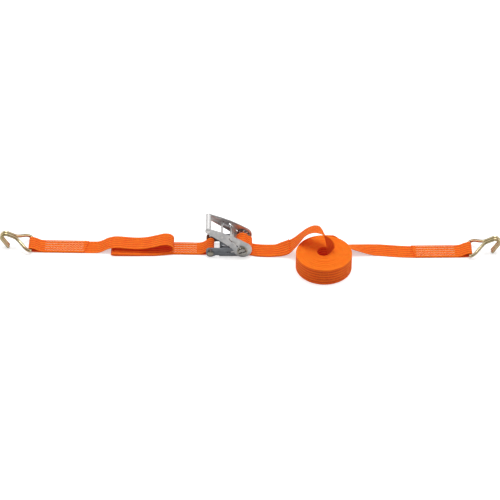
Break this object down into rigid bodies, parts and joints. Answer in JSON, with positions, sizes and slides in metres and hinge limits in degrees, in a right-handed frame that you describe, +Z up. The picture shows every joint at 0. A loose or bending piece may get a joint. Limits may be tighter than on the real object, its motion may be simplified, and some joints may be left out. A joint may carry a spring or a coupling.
{
  "type": "ratchet tie down",
  "caption": "Ratchet buckle with a short fixed strap and a long rolled strap of orange webbing, each ending in a sewn loop and a double J wire hook.",
  "frame": {"origin": "bottom centre of the bounding box, on the surface that the laid-out straps rest on", "axes": "+X along the straps from the short strap's hook to the long strap's hook, +Y across the webbing away from the side where the roll lies, +Z up"},
  "size_m": [1.365, 0.198, 0.1059],
  "materials": {
    "webbing": "woven polyester, matt",
    "zinc_steel": "bright zinc plate",
    "grip_metal": "smooth bright zinc",
    "yellow_zinc": "yellow passivated zinc plate",
    "spring_wire": "bright drawn wire"
  },
  "bodies": {
    "frame": {"frame": "zinc_steel", "strap_bolt": "yellow_zinc", "strap_bolt_nut": "yellow_zinc", "bolt_sleeve": "zinc_steel", "lock_spring": "spring_wire", "short_strap": "webbing", "long_strap": "webbing", "long_strap_tail": "webbing", "loose_turn": "webbing", "strap_roll": "webbing", "long_strap_end": "webbing"},
    "drum": {"drum_half_a": "zinc_steel", "drum_half_b": "zinc_steel", "ratchet_wheel_near": "zinc_steel", "ratchet_wheel_far": "zinc_steel", "drum_washer_near": "yellow_zinc", "drum_washer_far": "yellow_zinc", "cotter_pin_near": "yellow_zinc", "cotter_pin_far": "yellow_zinc", "drum_webbing": "webbing"},
    "handle": {"handle_plate_near": "zinc_steel", "handle_plate_far": "zinc_steel", "grip_tube": "grip_metal", "grip_bolt": "zinc_steel", "grip_nut": "zinc_steel", "spacer_bar": "zinc_steel", "drive_spring_near": "spring_wire", "drive_spring_far": "spring_wire"},
    "drive_pawl": {"drive_pawl": "zinc_steel"},
    "lock_pawl": {"lock_pawl": "zinc_steel"},
    "hook_left": {"hook_left": "yellow_zinc"},
    "hook_right": {"hook_right": "yellow_zinc"}
  },
  "joints": [
    {"name": "handle_swing", "type": "hinge", "parent": "frame", "child": "handle", "pos_m": [-0.021, 0.05145, 0.022], "axis": [0, 1, 0], "range_deg": [-30, 120]},
    {"name": "drum_spin", "type": "hinge", "parent": "frame", "child": "drum", "pos_m": [-0.021, 0.05145, 0.022], "axis": [0, 1, 0], "continuous": true},
    {"name": "drive_pawl_slide", "type": "slide", "parent": "handle", "child": "drive_pawl", "axis": [-0.6428, 0, 0.766], "range_m": [-0.0045, 0.005], "stiffness_N_per_m": 400, "deforming": ["drive_spring_near", "drive_spring_far"]},
    {"name": "lock_pawl_slide", "type": "slide", "parent": "frame", "child": "lock_pawl", "axis": [-0.9848, 0, -0.1736], "range_m": [0, 0.007], "stiffness_N_per_m": 400, "deforming": ["lock_spring"]},
    {"name": "hook_left_swing", "type": "hinge", "parent": "frame", "child": "hook_left", "pos_m": [-0.598, 0.06345, 0.009], "axis": [0, 1, 0], "range_deg": [-90, 50]},
    {"name": "hook_right_swing", "type": "hinge", "parent": "frame", "child": "hook_right", "pos_m": [0.598, 0.04095, 0.009], "axis": [0, -1, 0], "range_deg": [-90, 50]}
  ]
}
